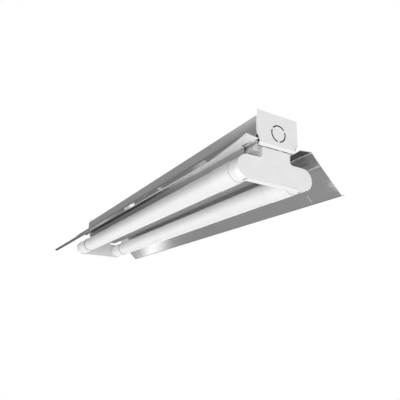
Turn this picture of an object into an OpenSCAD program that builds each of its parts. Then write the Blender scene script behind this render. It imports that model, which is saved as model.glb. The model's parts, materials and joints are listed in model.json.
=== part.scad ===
// Two-lamp ceiling batten with a folded reflector.
// X runs along the lamps, Z = 0 is the ceiling, and the two lamps lie at -Y (left) and +Y (right).
// Everything along X is symmetric, so each end piece is drawn at +X (near) and mirrored for the far end.

/* [Lamps] */
// Length of a lamp between the faces of its two caps
lamp_len = 589.8; // [400:0.1:900]
// Outer diameter of the lamp tube
tube_d = 25.4; // [24:0.1:28]
// Wall of the lamp tube
tube_wall = 1.2; // [0.8:0.1:2]
// Distance between the two lamp axes
lamp_spacing = 75.4; // [74:0.2:84]
// Drop of the lamp axes below the flat of the reflector
lamp_drop = 30.2; // [29.6:0.2:34]
// Length of the wide part of a lamp cap
cap_len = 38.5; // [25:0.5:60]
// Length of the collar between the cap and its face
collar_len = 9; // [5:0.5:14]
// Height that the cap stands proud of the tube
cap_step = 0.5; // [0.1:0.05:0.8]
// Height that the collar lies below the cap
collar_step = 0.5; // [0.1:0.05:0.8]
// Thickness of the cap's end wall
cap_face_t = 2; // [1.2:0.1:3]
// Length of the cap's spigot inside the tube
spigot_len = 8; // [5:0.5:12]
// Wall of the spigot
spigot_t = 1.2; // [0.8:0.1:1.6]
// Diameter of a lamp pin
pin_d = 2.35; // [2:0.05:2.6]
// Length of a lamp pin outside the cap
pin_len = 7.1; // [6:0.1:8]
// Length of a lamp pin inside the cap
pin_root = 4; // [3:0.5:8]
// Distance between the two pins of a cap
pin_spacing = 12.7; // [11:0.1:13]

/* [Light strip] */
// Width of the light strip inside a lamp
strip_w = 12; // [8:0.5:15]
// Thickness of the light strip
strip_t = 1; // [0.6:0.1:2]
// Distance between two light chips
chip_pitch = 14; // [8:0.5:30]
// Length of a light chip
chip_len = 3; // [2:0.1:6]
// Width of a light chip
chip_w = 5; // [2:0.1:7]
// Height of a light chip
chip_t = 0.8; // [0.5:0.1:1.5]
// Length of the power board in the near cap
power_len = 30; // [20:1:32]
// Thickness of the power board
power_t = 1.6; // [0.8:0.1:2]
// Drop of the power board below the lamp axis
power_drop = 1; // [0:0.1:3]
// Diameter of the capacitor on the power board
capacitor_d = 7; // [4:0.5:8]
// Length of the capacitor
capacitor_len = 11; // [6:0.5:14]
// Length of the coil on the power board
coil_len = 9; // [5:0.5:12]
// Width of the coil
coil_w = 9; // [5:0.5:12]
// Height of the coil
coil_h = 6; // [3:0.5:8]

/* [Housing] */
// Width of the housing over its side walls
housing_w = 58; // [54:0.5:62]
// Height of the housing's side walls
wall_h = 29.2; // [24:0.2:50]
// Thickness of the housing's sheet
housing_t = 0.8; // [0.6:0.1:1.5]
// Width of the raised spine that lies against the ceiling
spine_w = 28; // [20:1:36]
// Height of the spine above the shoulders
spine_h = 6.6; // [4:0.2:12]
// Run of the spine's sloped sides
spine_run = 3; // [1:0.5:5]
// Width of the lips along the bottom of the side walls
lip_w = 11; // [9:0.5:14]
// Outer radius of the housing's bends
housing_bend = 1.6; // [1:0.1:3]
// Length of the slanted cut at the lower corners of the housing's ends
wall_cut_len = 4; // [2:0.5:8]
// Height of that cut
wall_cut_h = 8; // [4:0.5:12]
// Distance of a ceiling screw hole from the housing's end
ceiling_hole_inset = 106.5; // [80:0.5:140]
// Diameter of a ceiling screw hole
ceiling_hole_d = 6.5; // [4:0.1:9]
// Diameter of the wire hole in the middle of the spine
wire_hole_d = 20.4; // [12:0.2:24]

/* [End plates] */
// Width of an end plate
plate_w = 56; // [52:0.5:62]
// Thickness of an end plate
plate_t = 1; // [0.8:0.1:2]
// Outer radius of the bend at the foot of an end plate
plate_bend = 4; // [2:0.2:6]
// Width of the flange under the housing
flange_w = 49.2; // [44:0.2:52]
// Height of the flange's turned-up side edges
flange_edge_h = 2.8; // [1.6:0.1:3]
// Length of the flange, measured from the plate's outer face
flange_len = 28.5; // [26:0.5:31]
// Drop of the flange's underside below the flat of the reflector
flange_drop = 3.4; // [2:0.1:6]
// Height of the chamfers at the plate's lower corners
plate_cut_h = 6.5; // [3:0.5:10]
// Height of the straight stretch between a chamfer and the bend
plate_neck_h = 1.5; // [0.5:0.5:4]
// Length of the two side tabs that enter the housing
tab_len = 10; // [6:0.5:20]
// Height of the two side tabs
tab_h = 16; // [10:0.5:22]
// Drop of the tabs below the shoulders of the housing
tab_drop = 4; // [2:0.5:8]
// Outer diameter of the knockout ring
knockout_d = 20.2; // [12:0.2:23]
// Width of the ring's slots
knockout_slot = 1.5; // [0.5:0.1:2]
// Width of the three bridges that hold the knockout
knockout_bridge = 2.6; // [1.5:0.1:4]
// Drop of the knockout's centre below the ceiling
knockout_drop = 22; // [14:0.5:24]
// Sideways offset of the knockout's centre
knockout_shift = 1; // [0:0.5:3]
// Length of the wire opening in the flange
wire_slot_len = 7; // [5:0.5:9]
// Width of the wire opening in the flange
wire_slot_w = 26; // [22:0.5:32]

/* [Reflector] */
// Thickness of the reflector's sheet
reflector_t = 0.8; // [0.5:0.1:1.2]
// Width that the reflector tucks under the housing's lip
tuck = 9.5; // [8:0.5:10]
// Width of the flat beside the housing
flat_run = 16.2; // [10:0.2:24]
// Rise of the flat towards its outer edge
flat_rise = 1.8; // [0:0.1:4]
// Run of the upper slope
upper_run = 12.9; // [8:0.1:20]
// Fall of the upper slope
upper_fall = 13.3; // [8:0.1:20]
// Run of the wing
wing_run = 32; // [20:0.5:60]
// Fall of the wing
wing_fall = 30.1; // [20:0.1:50]
// Run of the stiffening lip at the outer edge
edge_run = 4.9; // [2:0.1:8]
// Rise of the stiffening lip
edge_rise = 1.9; // [0.5:0.1:4]
// Radius of the reflector's bends
reflector_bend = 2; // [1:0.1:4]
// Length that the reflector reaches past an end plate
overhang = 3.5; // [0:0.1:10]
// Outer width of the notch beside an end plate
notch_w = 3.5; // [1:0.1:6]
// Length of the notch's square stretch
notch_len = 6; // [3:0.5:12]
// Distance of a guard slot from the reflector's end
slot_inset = 45; // [20:1:90]
// Length of a guard slot along X
slot_w = 1; // [0.5:0.1:2]
// Width of a guard slot across the wing
slot_run = 9; // [6:0.5:14]
// Distance of a guard slot from the outer edge
slot_margin = 1.4; // [1:0.1:4]

/* [Wireway cover] */
// Depth of the cover below the flat of the reflector
cover_depth = 15.3; // [12:0.1:16]
// Thickness of the cover's sheet
cover_t = 0.8; // [0.6:0.1:1.2]
// Outer radius of the cover's bends
cover_bend = 2.5; // [1:0.1:4]
// Distance between the two cover screws
cover_screw_span = 300; // [150:10:420]
// Width of a bridge that the cover screws into
bridge_w = 18; // [14:0.5:26]
// Half-width of a bridge's foot
bridge_foot = 11; // [8:0.5:14]
// Thickness of a bridge's sheet
bridge_t = 1; // [0.8:0.1:1.5]

/* [Lampholders] */
// Setback of a bracket's face behind the end plate
face_setback = 3.1; // [2:0.1:4]
// Depth of the bracket's rim
rim_depth = 9.2; // [8.8:0.1:12]
// Thickness of the bracket's face
face_t = 2; // [1.5:0.1:2.2]
// Thickness of the bracket's rim
rim_t = 1.6; // [1.2:0.1:2.4]
// Width of the bracket's neck
neck_w = 38; // [32:0.5:44]
// Gap between the neck's top edge and the bend of the end plate
neck_gap = 0.6; // [0.3:0.1:1.5]
// Thickness of the plate that closes the bracket's open side
back_t = 1.2; // [0.8:0.1:2]
// Radius between the neck and a lobe
neck_fillet = 5; // [2:0.2:7]
// Depth of the neck from its face back to the foot
neck_depth = 6.6; // [5:0.1:8]
// Width of the bracket's foot
foot_w = 51; // [49:0.2:56]
// Height of the bracket's foot
foot_h = 4; // [3:0.2:7]
// How far the foot reaches into the end of the wireway cover
foot_tuck = 5.7; // [3:0.1:8]
// Diameter of a rotor
rotor_d = 19.2; // [18.6:0.1:20]
// Wall of a lampholder around its rotor
holder_t = 1.62; // [1.2:0.02:2.4]
// Thickness of a rotor
rotor_t = 3.6; // [2.5:0.1:4]
// Thickness of a contact strip
contact_t = 0.5; // [0.3:0.1:0.7]
// Width of a contact strip
contact_w = 2.4; // [1.5:0.1:2.6]
// Reach of the contacts from the lamp axis
contact_reach = 12.6; // [12:0.1:14]

/* [Wiring] */
// Diameter of a lamp wire
wire_d = 1.8; // [1.2:0.1:2.4]
// Bend radius of a lamp wire
wire_bend = 4; // [3:0.2:5]
// Depth of the wires inside the housing, below its shoulders
wire_depth = 7; // [5:0.5:9]
// Distance of the terminal block's centre from the middle
terminal_x = 100; // [60:5:150]
// Length of the terminal block
terminal_len = 32; // [24:1:40]
// Width of the terminal block
terminal_w = 40; // [34:1:46]
// Height of the terminal block
terminal_h = 14; // [10:0.5:18]
// Diameter of a terminal screw
terminal_screw_d = 4; // [3:0.1:5]

/* [Fasteners] */
// Shank diameter of the small screws
screw_d = 3.5; // [3:0.1:4]
// Head diameter of the small screws
screw_head_d = 7; // [6:0.1:8]
// Head height of the small screws
screw_head_h = 2; // [1.5:0.1:2.6]
// Distance of the outer reflector screws from the cover's end
reflector_screw_inset = 44.7; // [20:0.1:120]
// Distance of the ground screw from the housing's end
ground_inset = 48.5; // [42:0.5:90]
// Diameter of the ground screw's head
ground_head_d = 8; // [6:0.2:9]
// Height of the ground screw's head
ground_head_h = 3; // [2:0.2:4]

/* [Hidden] */
$fn = 64;
// Fits and allowances
over = 1;
seat_gap = 0.3;
run_gap = 0.2;
turn_gap = 0.08;
pin_gap = 0.15;
touch_gap = 0.25;
bend_steps = 5;
wire_fn = 12;
screw_bite = 3;
half_turn = 180;
// Levels, from the ceiling down
shoulder_z = -spine_h;
lip_z = shoulder_z - wall_h;
flat_z = lip_z - reflector_t;
flange_z = flat_z - flange_drop;
cover_z = flat_z - cover_depth;
lamp_z = flat_z - lamp_drop;
// Places along X, from a lamp's face outwards
lamp_face = lamp_len / 2;
rim_x = lamp_face + seat_gap;
face_x = rim_x + rim_depth;
face_in = face_x - face_t;
plate_x = face_x + face_setback;
housing_x = plate_x - plate_t;
reflector_x = plate_x + overhang;
flange_in = plate_x - flange_len;
cover_x = flange_in + foot_tuck;
// Cross section
housing_y = housing_w / 2;
lip_y = housing_y - lip_w;
tuck_y = housing_y - tuck;
ceiling_hole_x = housing_x - ceiling_hole_inset;
reflector_screw_x = cover_x - reflector_screw_inset;
ground_x = housing_x - ground_inset;
lamp_y = lamp_spacing / 2;
cap_r = tube_d / 2 + cap_step;
collar_r = cap_r - collar_step;
bore_r = tube_d / 2 - tube_wall;
pin_y = pin_spacing / 2;
pin_reach = pin_y + pin_d / 2;
rotor_r = rotor_d / 2;
holder_r = rotor_r + turn_gap + holder_t;
lobe_r = holder_r + seat_gap + rim_t;
rotor_x = rim_x + run_gap;
rotor_end = rotor_x + rotor_t;
contact_x = rotor_end + run_gap + touch_gap;
contact_mid = contact_x + contact_w / 2;
leaf_y = pin_reach + touch_gap;
leaf_h = pin_d;
arc_r = leaf_y + contact_t;
cavity_r = arc_r + contact_t + run_gap;
slot_width = pin_d + 2 * touch_gap;
tail_y = contact_reach;
// Wires: each lampholder's two wires climb the neck at these distances from the middle
wire_r = wire_d / 2;
wire_z = shoulder_z - housing_t - wire_depth;
climb_near = wire_slot_w / 2 - wire_r - run_gap - wire_d;
climb_step = wire_d + 2 * seat_gap;
terminal_z = shoulder_z - housing_t;
strip_z = sqrt(pow(bore_r, 2) - pow(strip_w / 2, 2));
cap_in = lamp_face - collar_len - cap_len;
strip_half = cap_in - spigot_len;
board_y = sqrt(pow(bore_r, 2) - pow(power_drop + power_t, 2));
chips = floor(2 * (strip_half - 2 * chip_len) / chip_pitch);
power_x = lamp_face - cap_face_t - pin_root - power_len - touch_gap;
knock_angles = [30, 150, 270];

// Helpers for sheet outlines
function direction(a, b) = (b - a) / norm(b - a);
function left_of(v) = [-v.y, v.x];
function turn_angle(u, v) = atan2(u.x * v.y - u.y * v.x, u * v);
// Replaces the corner b between a and c by an arc of radius r
function corner_arc(a, b, c, r) =
    let (u = direction(a, b), v = direction(b, c), turn = turn_angle(u, v))
    let (trim = r * tan(abs(turn) / 2), start = b - u * trim, side = turn > 0 ? 1 : -1)
    let (centre = start + left_of(u) * r * side, from = atan2(start.y - centre.y, start.x - centre.x))
    [for (i = [0 : bend_steps])
        centre + r * [cos(from + turn * i / bend_steps), sin(from + turn * i / bend_steps)]];
// Rounds each inner corner of a path
function rounded_path(p, r) = [
    p[0],
    for (i = [1 : len(p) - 2]) each corner_arc(p[i - 1], p[i], p[i + 1], r),
    p[len(p) - 1]
];
// Moves a path to its left by t, with mitred corners
function shifted_path(p, t) = [
    for (i = [0 : len(p) - 1])
        let (u = direction(p[max(i - 1, 0)], p[max(i, 1)]))
        let (v = direction(p[min(i, len(p) - 2)], p[min(i + 1, len(p) - 1)]))
        let (m = left_of(u), n = left_of(v))
        p[i] + t * (m + n) / (1 + m * n)
];
function reversed(p) = [for (i = [len(p) - 1 : -1 : 0]) p[i]];
function sheet_outline(p, t) = concat(p, reversed(shifted_path(p, t)));
function mirrored_y(p) = [for (q = p) [-q.x, q.y]];

// Helpers for solids
module box(low, high) {
    translate(low) cube(high - low);
}
module x_cylinder(r, x0, x1, y = 0, z = 0, fn = $fn) {
    translate([x0, y, z]) rotate([0, 90, 0]) cylinder(r = r, h = x1 - x0, $fn = fn);
}
module z_cylinder(r, z0, z1, x = 0, y = 0, fn = $fn) {
    translate([x, y, z0]) cylinder(r = r, h = z1 - z0, $fn = fn);
}
// Extrudes an outline given in Y and Z along X
module along_x(outline, x0, x1) {
    translate([x0, 0, 0]) rotate([90, 0, 90]) linear_extrude(x1 - x0) polygon(outline);
}
// Extrudes an outline given in X and Z along Y
module along_y(outline, y0, y1) {
    translate([0, y1, 0]) rotate([90, 0, 0]) linear_extrude(y1 - y0) polygon(outline);
}
module far_end() {
    mirror([1, 0, 0]) children();
}
module left_side() {
    mirror([0, 1, 0]) children();
}
module at_lamp() {
    translate([0, lamp_y, lamp_z]) children();
}
// A pan-head screw that points up, with the underside of its head at z
module screw_up(z, bite, x = 0, y = 0) {
    z_cylinder(screw_d / 2, z - over / 2, z + bite, x, y);
    z_cylinder(screw_head_d / 2, z - screw_head_h, z, x, y);
}

// Housing: one folded sheet with a raised spine and two inward lips
function housing_path() = [
    [-lip_y, lip_z],
    [-housing_y, lip_z],
    [-housing_y, shoulder_z],
    [-spine_w / 2 - spine_run, shoulder_z],
    [-spine_w / 2, 0],
    [spine_w / 2, 0],
    [spine_w / 2 + spine_run, shoulder_z],
    [housing_y, shoulder_z],
    [housing_y, lip_z],
    [lip_y, lip_z]
];
module channel_housing() {
    color("silver") difference() {
        along_x(sheet_outline(rounded_path(housing_path(), housing_bend), -housing_t),
            -housing_x, housing_x);
        for (s = [-1, 1]) {
            z_cylinder(ceiling_hole_d / 2, -over - housing_t, over, s * ceiling_hole_x);
        }
        z_cylinder(wire_hole_d / 2, -over - housing_t, over);
        z_cylinder(screw_d / 2, shoulder_z - housing_t - over, shoulder_z + over, ground_x, ground_y);
        reflector_screw_places() z_cylinder(screw_d / 2, lip_z - over, lip_z + housing_t + over);
        for (s = [0, 1]) mirror([s, 0, 0]) {
            wall_cut();
        }
    }
}
ground_y = (spine_w / 2 + spine_run + housing_y) / 2;
module wall_cut() {
    along_y([
        [housing_x, lip_z + wall_cut_h], [housing_x + over, lip_z + wall_cut_h],
        [housing_x + over, lip_z - over], [housing_x - wall_cut_len, lip_z - over],
        [housing_x - wall_cut_len, lip_z]
    ], -housing_y - over, housing_y + over);
}

// End plate: a sheet with a bent flange, two side tabs and a ring knockout
function flange_path() = [
    [plate_x, flange_z + plate_bend + over],
    [plate_x, flange_z],
    [flange_in, flange_z]
];
module plate_face() {
    top_w = plate_w / 2;
    foot_y = flange_w / 2;
    bend_z = flange_z + plate_bend;
    cut_z = bend_z + plate_neck_h;
    along_x([
        [-top_w, 0], [-top_w, cut_z + plate_cut_h], [-foot_y, cut_z], [-foot_y, bend_z],
        [foot_y, bend_z], [foot_y, cut_z], [top_w, cut_z + plate_cut_h], [top_w, 0]
    ], housing_x, plate_x);
}
module plate_flange() {
    arc = corner_arc(flange_path()[0], flange_path()[1], flange_path()[2], plate_bend);
    difference() {
        union() {
            along_y(sheet_outline(concat(arc, [flange_path()[2]]), -plate_t), -flange_w / 2, flange_w / 2);
            for (s = [0, 1]) mirror([0, s, 0]) {
                box([flange_in, flange_w / 2 - plate_t, flange_z],
                    [housing_x - plate_bend, flange_w / 2, flange_z + flange_edge_h]);
            }
        }
        box([wire_slot_x - wire_slot_len / 2, -wire_slot_w / 2, flange_z - over],
            [wire_slot_x + wire_slot_len / 2, wire_slot_w / 2, flange_z + plate_t + over]);
        bracket_screw_places() z_cylinder(screw_d / 2, flange_z - over, flange_z + plate_t + over);
    }
}
wire_slot_x = face_in - wire_slot_len / 2;
module plate_tabs() {
    tab_y = housing_y - housing_t;
    tab_z = shoulder_z - tab_drop;
    for (s = [0, 1]) mirror([0, s, 0]) {
        box([housing_x - tab_len, tab_y - plate_t, tab_z - tab_h], [housing_x + plate_t / 2, tab_y, tab_z]);
    }
}
module knockout_ring() {
    outer_r = knockout_d / 2;
    inner_r = outer_r - knockout_slot;
    difference() {
        x_cylinder(outer_r, housing_x - over, plate_x + over, knockout_shift, -knockout_drop);
        x_cylinder(inner_r, housing_x - 2 * over, plate_x + 2 * over, knockout_shift, -knockout_drop);
        for (a = knock_angles) {
            translate([0, knockout_shift, -knockout_drop]) rotate([a, 0, 0])
                box([housing_x - 2 * over, 0, -knockout_bridge / 2],
                    [plate_x + 2 * over, outer_r + over, knockout_bridge / 2]);
        }
    }
}
module end_plate() {
    color("white") difference() {
        union() {
            plate_face();
            plate_flange();
            plate_tabs();
        }
        knockout_ring();
    }
}
module end_plate_near() {
    end_plate();
}
module end_plate_far() {
    far_end() end_plate();
}

// Reflector: one folded sheet on each side of the housing
function reflector_path() = [
    [tuck_y, flat_z],
    [housing_y, flat_z],
    [housing_y + flat_run, flat_z + flat_rise],
    [housing_y + flat_run + upper_run, flat_z + flat_rise - upper_fall],
    [housing_y + flat_run + upper_run + wing_run, flat_z + flat_rise - upper_fall - wing_fall],
    [
        housing_y + flat_run + upper_run + wing_run + edge_run,
        flat_z + flat_rise - upper_fall - wing_fall + edge_rise
    ]
];
module reflector_notch() {
    // Plan of the notch that clears an end plate's flange
    linear_plan = [
        [reflector_x + over, housing_y],
        [reflector_x, housing_y],
        [cover_x + notch_len, housing_y + notch_w],
        [cover_x, housing_y + notch_w],
        [cover_x, tuck_y - over],
        [reflector_x + over, tuck_y - over]
    ];
    translate([0, 0, flat_z - over]) linear_extrude(reflector_t + flat_rise + 2 * over) polygon(linear_plan);
}
module guard_slot() {
    slot_y = housing_y + flat_run + upper_run + wing_run - slot_margin;
    slot_x = reflector_x - slot_inset;
    box([slot_x - slot_w / 2, slot_y - slot_run, cover_z - wing_fall - upper_fall],
        [slot_x + slot_w / 2, slot_y, flat_z - upper_fall - over]);
}
module reflector_side() {
    color("lightgray") difference() {
        along_x(sheet_outline(rounded_path(reflector_path(), reflector_bend), reflector_t),
            -reflector_x, reflector_x);
        for (s = [0, 1]) mirror([s, 0, 0]) {
            reflector_notch();
            guard_slot();
        }
        reflector_screw_holes();
    }
}
module reflector_right() {
    reflector_side();
}
module reflector_left() {
    left_side() reflector_side();
}
// Screws that hold both reflectors to the housing's lips, hidden by the wireway cover
reflector_screw_y = (lip_y + housing_y - cover_t) / 2;
module reflector_screw_places() {
    for (s = [-1, 1], i = [-1 : 1]) {
        translate([i * reflector_screw_x, s * reflector_screw_y, 0]) children();
    }
}
module reflector_screw_holes() {
    for (i = [-1 : 1]) {
        z_cylinder(screw_d / 2, flat_z - over, lip_z + over, i * reflector_screw_x, reflector_screw_y);
    }
}
module reflector_screws() {
    color("silver") reflector_screw_places() screw_up(flat_z, reflector_t + housing_t + screw_bite);
}

// Wireway cover: a tray below the housing, between the two lampholder brackets
function cover_path() = [
    [-housing_y, flat_z],
    [-housing_y, cover_z],
    [housing_y, cover_z],
    [housing_y, flat_z]
];
module wireway_cover() {
    color("lightgray") difference() {
        along_x(sheet_outline(rounded_path(cover_path(), cover_bend), cover_t), -cover_x, cover_x);
        cover_screw_places() z_cylinder(screw_d / 2, cover_z - over, cover_z + cover_t + over);
    }
}
module cover_screw_places() {
    for (s = [-1, 1]) {
        translate([s * cover_screw_span / 2, 0, 0]) children();
    }
}
// Bridges that rest on the housing's lips and carry the cover
module bridge() {
    bridge_z = cover_z + cover_t;
    shelf_z = lip_z + housing_t;
    half_w = bridge_w / 2;
    path = [
        [-housing_y + housing_t + housing_bend, shelf_z],
        [-bridge_foot, shelf_z],
        [-bridge_foot, bridge_z],
        [bridge_foot, bridge_z],
        [bridge_foot, shelf_z],
        [housing_y - housing_t - housing_bend, shelf_z]
    ];
    difference() {
        along_x(sheet_outline(path, bridge_t), -half_w, half_w);
        z_cylinder(screw_d / 2, bridge_z - over, bridge_z + bridge_t + over);
    }
}
module cover_bridges() {
    color("silver") cover_screw_places() bridge();
}
module cover_screws() {
    color("silver") cover_screw_places() screw_up(cover_z, cover_t + bridge_t + screw_bite);
}

// Lampholder bracket: a shell whose two lobes hold the lamps, with a neck and a foot
module lobe_form(inset, x0, x1, top = flange_z - neck_gap) {
    corner_y = neck_w / 2 - inset;
    corner_z = lobe_r - inset;
    x_cylinder(lobe_r - inset, x0, x1, lamp_y, lamp_z);
    x_cylinder(lobe_r - inset, x0, x1, -lamp_y, lamp_z);
    box([x0, -lamp_y, lamp_z - corner_z], [x1, lamp_y, lamp_z + corner_z]);
    box([x0, -corner_y, lamp_z], [x1, corner_y, top - inset]);
    for (s = [0, 1]) mirror([0, s, 0]) difference() {
        box([x0, corner_y - over, lamp_z + corner_z - over],
            [x1, neck_w / 2 + neck_fillet, lamp_z + lobe_r + neck_fillet]);
        x_cylinder(neck_fillet + inset, x0 - over, x1 + over,
            neck_w / 2 + neck_fillet, lamp_z + lobe_r + neck_fillet);
    }
}
module pin_entry(x0, x1) {
    for (s = [-1, 1]) {
        box([x0, s * lamp_y - slot_width / 2, lamp_z - lobe_r - over],
            [x1, s * lamp_y + slot_width / 2, lamp_z]);
    }
}
module bracket_foot() {
    difference() {
        box([flange_in, -foot_w / 2, flange_z - foot_h], [face_x - neck_depth, foot_w / 2, flange_z]);
        box([flange_in + rim_t, -foot_w / 2 + foot_post, flange_z - foot_h + rim_t],
            [rim_x, foot_w / 2 - foot_post, flange_z + over]);
    }
}
foot_post = screw_head_d + rim_t;
module bracket() {
    color("white") difference() {
        union() {
            lobe_form(0, rim_x, face_x);
            bracket_foot();
        }
        lobe_form(rim_t, rim_x - over, face_in);
        box([wire_slot_x - wire_slot_len / 2, -wire_slot_w / 2, flange_z - foot_h - over],
            [wire_slot_x + wire_slot_len / 2, wire_slot_w / 2, flange_z + over]);
        pin_entry(rim_x - over, lamp_face + pin_len + touch_gap);
        bracket_screw_places() {
            z_cylinder(screw_d / 2, flange_z - foot_h - over, flange_z + over);
            z_cylinder(screw_head_d / 2 + seat_gap, flange_z - foot_h - over, bracket_screw_z);
        }
    }
}
bracket_screw_z = flange_z - foot_h + screw_head_h;
module bracket_screw_places() {
    for (s = [-1, 1]) {
        translate([flange_in + foot_post / 2, s * (foot_w / 2 - foot_post / 2), 0]) children();
    }
}
// Plate that closes the bracket around and between the two lampholders
module bracket_back() {
    hole_r = holder_r + run_gap;
    tail_z = pin_y + run_gap;
    color("white") difference() {
        lobe_form(rim_t, rim_x, rim_x + back_t, flange_z - foot_h + rim_t);
        for (s = [-1, 1]) {
            x_cylinder(hole_r, rim_x - over, rim_x + back_t + over, s * lamp_y, lamp_z);
        }
        for (s = [0, 1]) mirror([0, s, 0]) {
            box([rim_x - over, lamp_y - tail_y - run_gap, lamp_z - tail_z],
                [rim_x + back_t + over, lamp_y, lamp_z + tail_z]);
            box([rim_x - over, lamp_y - slot_width / 2, lamp_z - lobe_r - over],
                [rim_x + back_t + over, lamp_y + slot_width / 2, lamp_z]);
        }
    }
}
module bracket_back_near() {
    bracket_back();
}
module bracket_back_far() {
    far_end() bracket_back();
}
module lampholder_bracket_near() {
    bracket();
}
module lampholder_bracket_far() {
    far_end() bracket();
}
module end_bracket_screws() {
    bracket_screw_places() screw_up(bracket_screw_z, flange_z + plate_t - bracket_screw_z + screw_bite / 2);
}
module bracket_screws() {
    color("silver") {
        end_bracket_screws();
        far_end() end_bracket_screws();
    }
}

// Lampholder: a fixed ring with a bore for its rotor and a chamber for two contacts
module holder() {
    color("ivory") at_lamp() difference() {
        union() {
            x_cylinder(holder_r, rim_x, face_in);
            box([rim_x, -tail_y, -pin_y], [face_in, 0, pin_y]);
        }
        x_cylinder(rotor_r + turn_gap, rim_x - over, rotor_end + run_gap);
        x_cylinder(cavity_r, rotor_end, face_in + over);
        box([rotor_end + run_gap, -tail_y - over, -leaf_h - wire_d - run_gap],
            [face_in + over, 0, leaf_h + contact_t + wire_d + run_gap]);
        box([rim_x - over, -slot_width / 2, -holder_r - over], [face_in + over, slot_width / 2, 0]);
    }
}
module lampholder_right_near() {
    holder();
}
module lampholder_left_near() {
    left_side() holder();
}
module lampholder_right_far() {
    far_end() holder();
}
module lampholder_left_far() {
    far_end() left_side() holder();
}

// Contacts: two strips that press on the pins and end at the wires
function outer_contact_path() = [
    [leaf_y, -leaf_h],
    for (i = [0 : bend_steps * 2])
        let (from = asin(leaf_h / arc_r), a = from + (half_turn - 2 * from) * i / (bend_steps * 2))
        arc_r * [cos(a), sin(a)] - [contact_t / 2, 0],
    [-tail_y, leaf_h]
];
function inner_contact_path() = [
    [-leaf_y, leaf_h / 2],
    [-leaf_y, -leaf_h],
    [-tail_y, -leaf_h]
];
module contact_pair() {
    color("gold") at_lamp() {
        along_x(sheet_outline(outer_contact_path(), -contact_t), contact_x, contact_x + contact_w);
        along_x(sheet_outline(inner_contact_path(), -contact_t), contact_x, contact_x + contact_w);
    }
}
module contacts_right_near() {
    contact_pair();
}
module contacts_left_near() {
    left_side() contact_pair();
}
module contacts_right_far() {
    far_end() contact_pair();
}
module contacts_left_far() {
    far_end() left_side() contact_pair();
}

// Terminal block under the housing's shoulders, with two rows of screws
module terminal_block() {
    row_y = terminal_w / 2;
    color("beige") difference() {
        box([terminal_x - terminal_len / 2, -row_y, terminal_z - terminal_h],
            [terminal_x + terminal_len / 2, row_y, terminal_z]);
        terminal_screw_places() {
            z_cylinder(terminal_screw_d / 2, terminal_z - terminal_h - over, terminal_z - terminal_h / 2);
        }
        for (s = [-1, 1], i = [0 : 1]) {
            x_cylinder(wire_r, terminal_x - terminal_len / 2 - over, terminal_x + terminal_len / 2 + over,
                s * climb_y(i), wire_z, wire_fn * 2);
        }
    }
}
function climb_y(i) = climb_near - i * climb_step;
module terminal_screw_places() {
    for (s = [-1, 1], e = [-1, 1], i = [0 : 1]) {
        translate([terminal_x + e * terminal_len / 4, s * (terminal_w / 8 + i * terminal_w / 4), 0])
            children();
    }
}
module terminal_screws() {
    color("silver") terminal_screw_places()
        z_cylinder(terminal_screw_d / 2 - run_gap, terminal_z - terminal_h, terminal_z - terminal_h / 2);
}
module ground_screw() {
    color("green") {
        z_cylinder(ground_head_d / 2, terminal_z - ground_head_h, terminal_z, ground_x, ground_y, 6);
        z_cylinder(screw_d / 2, terminal_z - over / 2, shoulder_z + screw_bite / 2, ground_x, ground_y);
    }
}

// Wires: each climbs the neck from a contact, passes the flange and runs to the terminal block
module y_wire(y0, y1, x, z) {
    translate([x, y0, z]) rotate([-90, 0, 0]) cylinder(r = wire_r, h = y1 - y0, $fn = wire_fn * 2);
}
module elbow() {
    // A quarter bend from the origin's +X radius to its +Y radius
    rotate_extrude(angle = 90, $fn = wire_fn * 4)
        translate([wire_bend, 0]) circle(r = wire_r, $fn = wire_fn * 2);
}
module wire(start_z, climb, run_end) {
    start_y = lamp_y - tail_y + wire_d;
    x_cylinder(wire_r, run_end, contact_mid - wire_bend, climb, wire_z, wire_fn * 2);
    translate([contact_mid - wire_bend, climb, wire_z - wire_bend]) rotate([90, 0, 0]) elbow();
    z_cylinder(wire_r, start_z + wire_bend, wire_z - wire_bend, contact_mid, climb, wire_fn * 2);
    translate([contact_mid, climb + wire_bend, start_z + wire_bend]) rotate([90, 0, 90]) rotate([0, 0, 180])
        elbow();
    y_wire(climb + wire_bend, start_y, contact_mid, start_z);
}
module wire_pair(run_end) {
    upper_z = lamp_z + leaf_h + contact_t + wire_r;
    lower_z = lamp_z - leaf_h - wire_r;
    wire(upper_z, climb_y(0), run_end);
    wire(lower_z, climb_y(1), run_end);
}
module wires_near() {
    run_end = terminal_x + terminal_len / 2 - terminal_screw_d;
    color("dimgray") for (s = [0, 1]) {
        mirror([0, s, 0]) wire_pair(run_end);
    }
}
module wires_far() {
    // The far wires cross the middle of the housing to the terminal block
    run_end = -terminal_x + terminal_len / 2 - terminal_screw_d;
    color("dimgray") for (s = [0, 1]) {
        mirror([0, s, 0]) far_end() wire_pair(run_end);
    }
}

// Lamp: tube, two caps, four pins, and the parts inside
module lamp_tube() {
    color("white") at_lamp() difference() {
        x_cylinder(tube_d / 2, -cap_in, cap_in);
        x_cylinder(bore_r, -cap_in - over, cap_in + over);
    }
}
module lamp_cap() {
    color("whitesmoke") at_lamp() difference() {
        union() {
            x_cylinder(cap_r, cap_in, lamp_face - collar_len);
            x_cylinder(collar_r, cap_in + over, lamp_face);
            x_cylinder(bore_r, cap_in - spigot_len, cap_in + over);
        }
        x_cylinder(bore_r - spigot_t, cap_in - spigot_len - over, cap_in + 2 * spigot_t);
        x_cylinder(bore_r, cap_in + spigot_t, lamp_face - cap_face_t);
        for (s = [-1, 1]) {
            x_cylinder(pin_d / 2, lamp_face - cap_face_t - over, lamp_face + over, s * pin_y);
        }
    }
}
module lamp_pins() {
    color("gold") at_lamp() for (e = [0, 1], s = [-1, 1]) {
        mirror([e, 0, 0])
            x_cylinder(pin_d / 2, lamp_face - cap_face_t - pin_root, lamp_face + pin_len, s * pin_y);
    }
}
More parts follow.
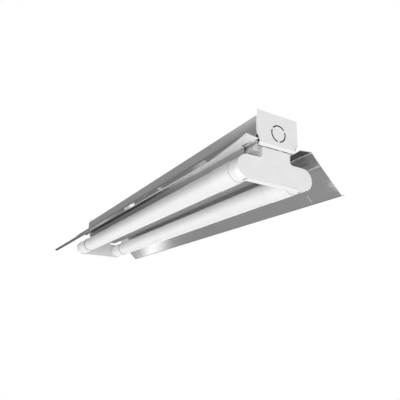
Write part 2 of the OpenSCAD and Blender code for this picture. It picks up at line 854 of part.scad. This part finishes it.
module light_strip() {
    color("white") at_lamp()
        box([-strip_half, -strip_w / 2, strip_z - strip_t], [strip_half, strip_w / 2, strip_z]);
}
module light_chips() {
    color("khaki") at_lamp() for (i = [0 : chips]) {
        translate([(i - chips / 2) * chip_pitch, 0, strip_z - strip_t])
            box([-chip_len / 2, -chip_w / 2, -chip_t], [chip_len / 2, chip_w / 2, 0]);
    }
}
module power_board() {
    color("green") at_lamp() {
        box([power_x, -board_y, -power_drop - power_t], [power_x + power_len, board_y, -power_drop]);
        x_cylinder(capacitor_d / 2, power_x + over, power_x + over + capacitor_len,
            0, -power_drop - power_t - capacitor_d / 2 + touch_gap);
        box([power_x + power_len - over - coil_len, -coil_w / 2, -power_drop - power_t - coil_h],
            [power_x + power_len - over, coil_w / 2, -power_drop - power_t + touch_gap]);
    }
}
// Rotor: a disc whose slot holds both pins and opens towards the other lamp
module rotor() {
    color("whitesmoke") at_lamp() difference() {
        x_cylinder(rotor_r, rotor_x, rotor_end);
        box([rotor_x - over, -rotor_r - over, -pin_d / 2 - pin_gap],
            [rotor_end + over, pin_y, pin_d / 2 + pin_gap]);
        x_cylinder(pin_d / 2 + pin_gap, rotor_x - over, rotor_end + over, pin_y);
    }
}
module right_tube() {
    lamp_tube();
}
module right_cap_near() {
    lamp_cap();
}
module right_cap_far() {
    far_end() lamp_cap();
}
module right_pins() {
    lamp_pins();
}
module right_rotor_near() {
    rotor();
}
module right_rotor_far() {
    far_end() rotor();
}
module right_light_strip() {
    light_strip();
}
module right_light_chips() {
    light_chips();
}
module right_power_board() {
    power_board();
}
module left_tube() {
    left_side() lamp_tube();
}
module left_cap_near() {
    left_side() lamp_cap();
}
module left_cap_far() {
    left_side() far_end() lamp_cap();
}
module left_pins() {
    left_side() lamp_pins();
}
module left_rotor_near() {
    left_side() rotor();
}
module left_rotor_far() {
    left_side() far_end() rotor();
}
module left_light_strip() {
    left_side() light_strip();
}
module left_light_chips() {
    left_side() light_chips();
}
module left_power_board() {
    left_side() power_board();
}

channel_housing();
end_plate_near();
end_plate_far();
reflector_left();
reflector_right();
reflector_screws();
wireway_cover();
cover_bridges();
cover_screws();
lampholder_bracket_near();
lampholder_bracket_far();
bracket_back_near();
bracket_back_far();
bracket_screws();
lampholder_left_near();
lampholder_right_near();
lampholder_left_far();
lampholder_right_far();
contacts_left_near();
contacts_right_near();
contacts_left_far();
contacts_right_far();
terminal_block();
terminal_screws();
ground_screw();
wires_near();
wires_far();
left_tube();
left_cap_near();
left_cap_far();
left_pins();
left_rotor_near();
left_rotor_far();
left_light_strip();
left_light_chips();
left_power_board();
right_tube();
right_cap_near();
right_cap_far();
right_pins();
right_rotor_near();
right_rotor_far();
right_light_strip();
right_light_chips();
right_power_board();
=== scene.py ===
import json

import bpy
from mathutils import Matrix, Vector

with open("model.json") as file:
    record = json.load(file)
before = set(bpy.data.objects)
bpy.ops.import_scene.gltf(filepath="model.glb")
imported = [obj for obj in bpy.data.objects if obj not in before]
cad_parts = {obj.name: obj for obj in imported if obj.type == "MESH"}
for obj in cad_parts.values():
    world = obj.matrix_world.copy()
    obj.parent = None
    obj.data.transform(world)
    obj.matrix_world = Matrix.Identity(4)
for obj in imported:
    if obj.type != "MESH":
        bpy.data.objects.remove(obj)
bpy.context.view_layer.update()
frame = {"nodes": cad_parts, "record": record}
nodes = frame["nodes"]
scene = bpy.context.scene

# Tone and gloss
WHITE = (1, 1, 1)
CLOUD_SHARE = 0.5  # of a rolled sheet's tone, where its lines give the rest
NOISE_LOW, NOISE_HIGH = 0.3, 0.7  # most of a noise lies between these
TONE_SPREAD = 0.02  # of a paint or moulding's grey level, each way
GLOSS_SPREAD = 0.05  # of its roughness, each way

# Sockets of the Mix node when it mixes colours
MIX_FACTOR, MIX_A, MIX_B, MIX_RESULT = 0, 6, 7, 2

# Soft steps over a surface, each as (nothing here, full here).
# Across the part: metres out from its middle plane, the same on both sides
WITHIN_COVER = (0.0292, 0.0288)
WITHIN_COVER_SIDE = (0.0294, 0.0291)
PAST_COVER = (0.0285, 0.0295)
PAST_INNER_BEND = (0.045, 0.0454)
WITHIN_OUTER_BEND = (0.0583, 0.0579)
REFLECTOR_BENDS = (0.0452, 0.0581)  # their middles
OFF_BEND = (0.0011, 0.0004)  # from a bend's middle
OUTER_WING = (0.06, 0.085)
REFLECTOR_RIM = (0.089, 0.0905)
REFLECTOR_LIP = (0.0905, 0.0912)
WITHIN_HOUSING = (0.0289, 0.0286)
# Across the part: metres to the right of its middle plane
LEFT_HALF = (0.01, -0.01)
RIGHT_HALF = (-0.01, 0.01)
# Along the part: metres from its middle towards the near end
FAR_HALF = (0.1, -0.1)
# The next four lines give the spans of the painted pale light on the flats, the pale patches on
# the wings and the painted glints on the lips
LEFT_PAINTED_LIGHT_ALONG = (0.02, 0.2)
RIGHT_PAINTED_LIGHT_ALONG = (0.27, 0.15)
PALE_PATCHES_ALONG = (0.27, 0.315)
PAINTED_GLINTS_START, PAINTED_GLINTS_END = (0.08, 0.09), (0.22, 0.2)
NEAR_CORNER = (0.2, 0.31)
PAST_NECK = (0.3019, 0.3023)  # the same at both ends
# Up: metres above the ceiling plane
TOP_OF_WALL = (-0.02, -0.006)
FOOT_OF_WALL = (-0.014, -0.036)
# Parts of the surface's normal
FACES_DOWN = (-0.02, -0.2)
LEVEL_SHEET = (-0.93, -0.97)
COVER_BOTTOM = (-0.7, -0.95)
FLANGE_BOTTOM = (-0.9, -0.98)
BRACKET_RIMS = (-0.1, -0.6)
PLATE_BOTTOM = (-0.1, -0.5)
FACES_UP = (0.02, 0.3)
FACES_SIDEWAYS = (0.5, 0.8)
CUT_WALL = (0.8, 0.5)

# Knockout ring of an end plate: its centre in metres, and its slots' inner and outer edge
RING_Y, RING_DROP = 0.001, 0.022
RING_INNER, RING_OUTER = (0.0082, 0.0085), (0.0105, 0.0102)

# Bright sheet: roughness of its matt parts (the painted light on the flats, and the outside), its
# covered and its worn parts, and how dull the last two are
MATT_ROUGH, COVER_ROUGH, WORN_ROUGH = 0.62, 0.5, 0.4
HALF_DULL = 0.5
# Strength of the painted light on the right flat, and the unevenness of the painted light on the
# left flat
RIGHT_PAINTED_LIGHT = 0.8
UNEVEN_PAINTED_LIGHT = (0.94, 1.0)
# Housing: how metallic its outside and inside are
OUTSIDE_METAL, INSIDE_METAL = 0.85, 0.2

# Dark joints round a lamp, deepened by painted shade of their gaps, most at the far end: start and
# end in metres from its middle, grey level, and strength at the near end, where the far end has 1
JOINT_SOFT = 0.0001
TUBE_END = (0.2462, 0.2475, 0.25, 0.1)
CAP_MOUTH = (0.2473, 0.248, 0.2, 0.1)
CAP_COLLAR = (0.2857, 0.2862, 0.3, 0.45)
CAP_RIM = (0.2944, 0.295, 0.2, 0.9)

# Surroundings, in metres and grey levels
WORLD_SEEN, WORLD_LIGHT = 1.0, 0.95
FLOOR_SIZE, FLOOR_HEIGHT, FLOOR_GREY = 24, -2.2, 0.58
FLOOR_FADE = (3.4, 6.0)

# Lamps: name, place, aim, width and height in metres, and power in watts. The last is a narrow
# one that shows in the right reflector's far end.
LAMPS = (
    ("key", (0.45, -0.9, -1.05), (0.15, 0, -0.05), 0.5, 0.5, 5.4),
    ("low_left", (-0.1, -1.35, -0.85), (-0.05, 0, -0.05), 0.9, 0.9, 3.6),
    ("front", (1.5, -0.45, -0.75), (0, 0, -0.05), 1.0, 1.0, 1.2),
    ("far_card", (-1.70, -0.15, -0.75), (-0.24, 0.087, -0.075), 0.4, 0.085, 0.4),
)

# Camera at the photograph's viewing angle: axes and place in the part's frame
CAMERA_RIGHT = Vector((0.5052, 0.8625, 0.0294))
CAMERA_LOOK = Vector((-0.8315, 0.4773, 0.2842))
CAMERA_PLACE = Vector((0.64214, -0.28773, -0.22888))
FOCAL_PIXELS, PHOTO_PIXELS, SENSOR_MM = 433.29, 400, 36
CLIP_END = 100


def grey(v):
    return (v, v, v, 1.0)


class Tree:
    """A node tree with short calls for its nodes and links."""

    def __init__(self, tree):
        self.tree = tree

    def feed(self, socket, value):
        """Links another node's output to the socket, or sets the socket to a constant."""
        if isinstance(value, bpy.types.NodeSocket):
            self.tree.links.new(value, socket)
        else:
            socket.default_value = value

    def node(self, kind, inputs, **props):
        n = self.tree.nodes.new("ShaderNode" + kind)
        for key, value in props.items():
            setattr(n, key, value)
        for key, value in inputs.items():
            self.feed(n.inputs[key], value)
        return n

    def math(self, operation, first, *rest, clamp=False):
        """One operation over all the values in turn, each a socket or a number."""
        for value in rest or (0.0,):
            n = self.node("Math", {0: first, 1: value}, operation=operation, use_clamp=clamp)
            first = n.outputs[0]
        return first

    def times(self, *values):
        return self.math("MULTIPLY", *values)

    def most(self, *values):
        return self.math("MAXIMUM", *values)

    def absolute(self, value):
        return self.math("ABSOLUTE", value)

    def span(self, value, low, high):
        """From 0 to 1 into from low to high."""
        n = self.node("MapRange", {"Value": value, "To Min": low, "To Max": high})
        return n.outputs["Result"]

    def step(self, value, start, end):
        """Smooth step from 0 at start to 1 at end; start may be the larger."""
        n = self.node("MapRange", {
            "Value": value, "From Min": min(start, end), "From Max": max(start, end),
            "To Min": float(start > end), "To Max": float(end > start),
        }, interpolation_type="SMOOTHSTEP")
        return n.outputs["Result"]

    def mix(self, factor, a, b):
        n = self.node("Mix", {MIX_FACTOR: factor, MIX_A: a, MIX_B: b}, data_type="RGBA")
        return n.outputs[MIX_RESULT]


class Mat(Tree):
    """A Principled material, with patterns that hang on the part's own frame."""

    def __init__(self, name):
        self.mat = bpy.data.materials.new(name)
        self.mat.use_nodes = True
        super().__init__(self.mat.node_tree)
        self.bsdf = self.tree.nodes["Principled BSDF"]
        self.coords = self.node("TexCoord", {}).outputs["Object"]

    def shader(self, sockets):
        for key, value in sockets.items():
            self.feed(self.bsdf.inputs[key], value)

    def place(self):
        return self.node("SeparateXYZ", {0: self.coords}).outputs

    def facing(self):
        normal = self.node("NewGeometry", {}).outputs["Normal"]
        return self.node("SeparateXYZ", {0: normal}).outputs

    def noise(self, scale, detail=3.0, rough=0.5, stretch=(1, 1, 1)):
        vector = self.node("Mapping", {"Scale": stretch, "Vector": self.coords}).outputs["Vector"]
        n = self.node("TexNoise", {
            "Scale": scale, "Detail": detail, "Roughness": rough, "Vector": vector})
        return n.outputs["Fac"]

    def patches(self, low, high, **noise):
        """Noise as soft patches: nothing where it is below low, full where it is above high."""
        return self.step(self.noise(**noise), low, high)

    def ramp(self, noise, low, high):
        """The low colour to the high one, over the middle values of a noise."""
        n = self.node("ValToRGB", {"Fac": noise})
        first, last = n.color_ramp.elements
        first.position, first.color = NOISE_LOW, low
        last.position, last.color = NOISE_HIGH, high
        return n.outputs["Color"]

    def paint(self, *layers):
        """Lays greys over the base colour, each as (mask, strength, grey level)."""
        base = self.base
        for mask, strength, level in layers:
            base = self.mix(self.times(mask, strength), base, grey(level))
        self.shader({"Base Color": base})

    def bump(self, height, strength, distance):
        """Adds to the bumps and soft edges that the shader has so far."""
        normal = self.bsdf.inputs["Normal"]
        n = self.node("Bump", {"Strength": strength, "Distance": distance, "Height": height})
        if normal.links:
            self.feed(n.inputs["Normal"], normal.links[0].from_socket)
        self.feed(normal, n.outputs["Normal"])

    def soft_edges(self, radius):
        """Rounds the shading over edges, as a moulded or painted edge is."""
        n = self.node("Bevel", {"Radius": radius}, samples=4)
        self.shader({"Normal": n.outputs["Normal"]})


def sheet_metal(name, low, high, gloss, wave=0.25, edge_tint=0.6):
    """Rolled sheet: lines along the sheet, soft clouds in tone and gloss, slight waves."""
    m = Mat(name)
    streak = m.noise(scale=900, detail=4, rough=0.6, stretch=(0.02, 1, 1))
    cloud = m.noise(scale=14, detail=4, rough=0.55, stretch=(0.5, 1, 1))
    lines, clouds = (m.ramp(noise, grey(low), grey(high)) for noise in (streak, cloud))
    m.base = m.mix(CLOUD_SHARE, lines, clouds)
    m.gloss = m.span(cloud, *gloss)
    m.shader({
        "Base Color": m.base, "Metallic": 1.0, "Roughness": m.gloss,
        "Specular Tint": grey(edge_tint),
    })
    m.bump(streak, strength=0.05, distance=0.0002)
    waves = m.noise(scale=9, detail=1, rough=0.4, stretch=(0.6, 1, 1))
    m.bump(waves, strength=wave, distance=0.004)
    return m


def reflector_sheet():
    """Reflectors and cover: bright inside and dull outside. Pale patchy lines along the bends are
    painted highlights with wear, the inner slopes are paler with painted bounce light, and the
    outer wings have pale dull patches by the near end. The flats carry painted pale light, on the
    left towards the near end and on the right away from it, the lips carry painted glints, and the
    cover is duller than the reflectors."""
    m = sheet_metal("reflector_metal", low=0.44, high=0.51, gloss=(0.12, 0.2), edge_tint=0.25)
    place, face = m.place(), m.facing()
    along, aside = place["X"], place["Y"]
    across = m.absolute(aside)
    inside = m.step(face["Z"], *FACES_DOWN)
    outside = m.step(face["Z"], *FACES_UP)

    # The folds of the sheets
    # Inner slopes: painted bounce light makes them paler than the rest of the inside
    slope_bounce_light = m.times(m.step(across, *PAST_INNER_BEND), m.step(across, *WITHIN_OUTER_BEND), inside)
    rim = m.step(across, *REFLECTOR_RIM)
    cover = m.times(m.step(across, *WITHIN_COVER), m.step(face["Z"], *COVER_BOTTOM))
    cover_side = m.times(
        m.step(across, *WITHIN_COVER_SIDE), m.step(m.absolute(face["Y"]), *FACES_SIDEWAYS))

    # Wear, stains and painted light
    off_bends = (m.absolute(m.math("SUBTRACT", across, y)) for y in REFLECTOR_BENDS)
    bends = m.most(*(m.step(off, *OFF_BEND) for off in off_bends))
    # Bends: pale patchy lines, painted highlights of the bends together with wear
    bend_highlight_and_wear = m.times(bends, inside, m.patches(low=0.35, high=0.6, scale=45, detail=2))
    # Painted pale light on the level flats: on the left by the near end, on the right away from it
    level = m.times(m.step(across, *PAST_COVER), m.step(face["Z"], *LEVEL_SHEET))
    left_painted_light = m.times(
        level, m.step(aside, *LEFT_HALF), m.step(along, *LEFT_PAINTED_LIGHT_ALONG),
        m.span(m.noise(scale=60), *UNEVEN_PAINTED_LIGHT))
    right_painted_light = m.times(
        level, m.step(aside, *RIGHT_HALF), m.step(along, *RIGHT_PAINTED_LIGHT_ALONG), RIGHT_PAINTED_LIGHT)
    painted_light = m.most(left_painted_light, right_painted_light)
    # Pale, dull patches on the outer wings by the near end
    pale_patch = m.times(
        m.patches(low=0.45, high=0.7, scale=38, rough=0.6, stretch=(0.6, 1, 1)),
        m.step(along, *PALE_PATCHES_ALONG), m.step(across, *OUTER_WING))
    stain = m.times(
        m.patches(low=0.5, high=0.75, scale=16, rough=0.6, stretch=(0.7, 1, 1)), inside)
    # Painted glints: bright spots on the lips
    painted_glint = m.times(
        m.step(across, *REFLECTOR_LIP), inside,
        m.step(along, *PAINTED_GLINTS_START), m.step(along, *PAINTED_GLINTS_END),
        m.patches(low=0.48, high=0.66, scale=55, rough=0.6, stretch=(0.7, 1.5, 1.5)))

    m.paint(
        (stain, 0.6, 0.32),
        (slope_bounce_light, 1.0, 0.7),
        (bend_highlight_and_wear, 1.0, 0.8),
        (painted_light, 1.0, 0.97),
        (pale_patch, 0.8, 0.85),
        (cover, 1.0, 0.45),
        (cover_side, 1.0, 0.6),
        (rim, 0.6, 0.3),
        (painted_glint, 1.0, 0.97),
        (outside, 0.75, 0.17),
    )
    wear, covered = m.most(bend_highlight_and_wear, pale_patch), m.most(cover, cover_side)
    rough = m.most(
        m.gloss, m.times(m.most(painted_light, outside), MATT_ROUGH), m.times(covered, COVER_ROUGH),
        m.times(wear, WORN_ROUGH))
    matt = m.most(painted_light, painted_glint, m.times(m.most(wear, covered), HALF_DULL))
    m.shader({"Roughness": rough, "Metallic": m.span(matt, 1.0, 0.0)})
    return m


def wall_sheet():
    """The housing's dull sheet: painted shade darkens it towards the reflector, painted light
    makes it paler by the near end's upper corner, and it is paler inside."""
    m = sheet_metal("housing_metal", low=0.24, high=0.32, gloss=(0.38, 0.5))
    place = m.place()
    inside = m.step(m.absolute(place["Y"]), *WITHIN_HOUSING)
    # Painted light by the near end's upper corner
    painted_corner_light = m.times(m.step(place["X"], *NEAR_CORNER), m.step(place["Z"], *TOP_OF_WALL))
    # Painted shade at the foot of the walls, then the corner's painted light, then the paler
    # inside
    m.paint(
        (m.step(place["Z"], *FOOT_OF_WALL), 0.5, 0.15),
        (painted_corner_light, 0.55, 0.7),
        (inside, 1.0, 0.85),
    )
    m.shader({"Metallic": m.span(inside, OUTSIDE_METAL, INSIDE_METAL)})
    return m


def enamel(name, level, rough, tint=WHITE, edge_radius=0.0004):
    """Paint or moulding: nearly even tone and gloss, a fine grain, soft edges."""
    m = Mat(name)
    m.soft_edges(edge_radius)
    low, high = ((*((level + d) * t for t in tint), 1.0) for d in (-TONE_SPREAD, TONE_SPREAD))
    m.base = m.ramp(m.noise(scale=60), low, high)
    gloss = m.span(m.noise(scale=300, detail=2), rough - GLOSS_SPREAD, rough + GLOSS_SPREAD)
    m.shader({"Base Color": m.base, "Roughness": gloss})
    m.bump(m.noise(scale=1800, detail=2), strength=0.06, distance=0.0001)
    return m


def bracket_paint():
    """Satin white, paler on the rims and the foot, which face down, with painted light from below.
    """
    m = enamel("bracket_white", level=0.82, rough=0.45, edge_radius=0.0006)
    # Painted light from below on the faces that face down
    m.paint((m.step(m.facing()["Z"], *BRACKET_RIMS), 1.0, 0.95))
    return m


def plate_paint():
    """White paint, with painted light making it paler underneath and at the far end, a broken line
    of painted shadow under the flange past the bracket's neck, and painted shadow on the cut walls
    of the knockout ring."""
    m = enamel("white_paint", level=0.8, rough=0.35)
    place, face = m.place(), m.facing()
    # Painted shadow: a broken dark line under the flange, where the bracket's neck meets it
    painted_seam_shadow = m.times(
        m.step(m.absolute(place["X"]), *PAST_NECK), m.step(face["Z"], *FLANGE_BOTTOM),
        m.patches(low=0.35, high=0.55, scale=160, detail=1))
    up = m.math("ADD", place["Z"], RING_DROP)
    side = m.math("SUBTRACT", place["Y"], RING_Y)
    off = m.math("SQRT", m.math("ADD", m.times(up, up), m.times(side, side)))
    ring_wall = m.times(
        m.step(off, *RING_INNER), m.step(off, *RING_OUTER),
        m.step(m.absolute(face["X"]), *CUT_WALL))
    # Painted light underneath and on the far plate, then the painted shadows of the seam and the
    # ring's cut walls
    m.paint(
        (m.step(face["Z"], *PLATE_BOTTOM), 1.0, 0.95),
        (m.step(place["X"], *FAR_HALF), 1.0, 0.93),
        (painted_seam_shadow, 1.0, 0.12),
        (ring_wall, 1.0, 0.06),
    )
    return m


def lamp_paint(name, level, rough, joints):
    """Frosted or satin white that stays bright at its grazing edges, with thin dark joints that
    painted shade deepens, most at the far end.
    """
    m = enamel(name, level, rough)
    along = m.place()["X"]
    off, far = m.absolute(along), m.step(along, *FAR_HALF)
    layers = []
    # Each line is a joint with painted shade of its gap, weaker at the near end
    for start, end, joint_level, near_strength in joints:
        line = m.times(
            m.step(off, start - JOINT_SOFT, start), m.step(off, end + JOINT_SOFT, end),
            m.span(far, near_strength, 1.0))
        layers.append((line, 1.0, joint_level))
    m.paint(*layers)
    m.shader({"Sheen Weight": 0.8, "Sheen Roughness": 0.4})
    return m


def brass():
    m = enamel("contact_brass", level=0.75, rough=0.28, tint=(1, 0.78, 0.42))
    m.shader({"Metallic": 1.0})
    return m


materials = {
    "housing_metal": wall_sheet(),
    "reflector_metal": reflector_sheet(),
    "white_paint": plate_paint(),
    "bracket_white": bracket_paint(),
    "holder_white": enamel("holder_white", level=0.82, rough=0.3),
    "screw_metal": sheet_metal("screw_metal", low=0.6, high=0.7, gloss=(0.25, 0.35), wave=0.0),
    "contact_brass": brass(),
    "terminal_plastic": enamel("terminal_plastic", level=0.72, rough=0.45, tint=(1, 0.97, 0.86)),
    "ground_green": enamel("ground_green", level=0.3, rough=0.4, tint=(0.2, 1, 0.4)),
    "wire_insulation": enamel("wire_insulation", level=0.7, rough=0.4),
    "lamp_diffuser": lamp_paint("lamp_diffuser", level=0.86, rough=0.3, joints=[TUBE_END]),
    "cap_white": lamp_paint(
        "cap_white", level=0.88, rough=0.35, joints=[CAP_MOUTH, CAP_COLLAR, CAP_RIM]),
    "strip_white": enamel("strip_white", level=0.85, rough=0.4),
    "chip_yellow": enamel("chip_yellow", level=0.8, rough=0.25, tint=(1, 0.85, 0.3)),
    "board_green": enamel("board_green", level=0.3, rough=0.35, tint=(0.25, 1, 0.45)),
}
for sub in frame["record"]["subparts"]:
    for slot in nodes[sub["node"]].material_slots:
        slot.material = materials[sub["material_slot"]].mat

# Surroundings: white to the eye, in reflections and through glass, a little less as light
world = bpy.data.worlds.new("surroundings")
scene.world = world
world.use_nodes = True
sky = Tree(world.node_tree)
rays = sky.node("LightPath", {}).outputs
seen = sky.math(
    "ADD", rays["Is Camera Ray"], rays["Is Glossy Ray"], rays["Is Transmission Ray"], clamp=True)
background = world.node_tree.nodes["Background"]
sky.feed(background.inputs["Color"], grey(1.0))
sky.feed(background.inputs["Strength"], sky.span(seen, WORLD_LIGHT, WORLD_SEEN))

# Floor: pale by the part, and glowing as white as the surroundings towards its edge
bpy.ops.mesh.primitive_plane_add(size=FLOOR_SIZE, location=(0, 0, FLOOR_HEIGHT))
floor = bpy.context.object
floor.name = "floor"
floor_mat = Mat("floor_pale")
distance = floor_mat.node("VectorMath", {0: floor_mat.coords}, operation="LENGTH").outputs["Value"]
fade = floor_mat.step(distance, *FLOOR_FADE)
floor_mat.shader({
    "Base Color": floor_mat.mix(fade, grey(FLOOR_GREY), grey(0.0)), "Roughness": 0.9,
    "Emission Color": grey(1.0), "Emission Strength": fade,
})
floor.data.materials.append(floor_mat.mat)

for name, place, aim, width, height, watts in LAMPS:
    light = bpy.data.lights.new(name, "AREA")
    light.energy = watts
    light.shape = "RECTANGLE"
    light.size = width
    light.size_y = height
    lamp = bpy.data.objects.new(name, light)
    scene.collection.objects.link(lamp)
    lamp.location = place
    lamp.rotation_euler = (Vector(aim) - Vector(place)).to_track_quat("-Z", "Y").to_euler()

look = CAMERA_LOOK.normalized()
right = (CAMERA_RIGHT - look * CAMERA_RIGHT.dot(look)).normalized()
up = right.cross(look)
camera_data = bpy.data.cameras.new("camera")
camera_data.sensor_width = SENSOR_MM
camera_data.lens = FOCAL_PIXELS / PHOTO_PIXELS * SENSOR_MM
camera_data.clip_end = CLIP_END
camera = bpy.data.objects.new("camera", camera_data)
scene.collection.objects.link(camera)
axes = Matrix((right, up, -look)).transposed().to_4x4()
camera.matrix_world = Matrix.Translation(CAMERA_PLACE) @ axes
scene.camera = camera
scene.view_settings.view_transform = "Standard"
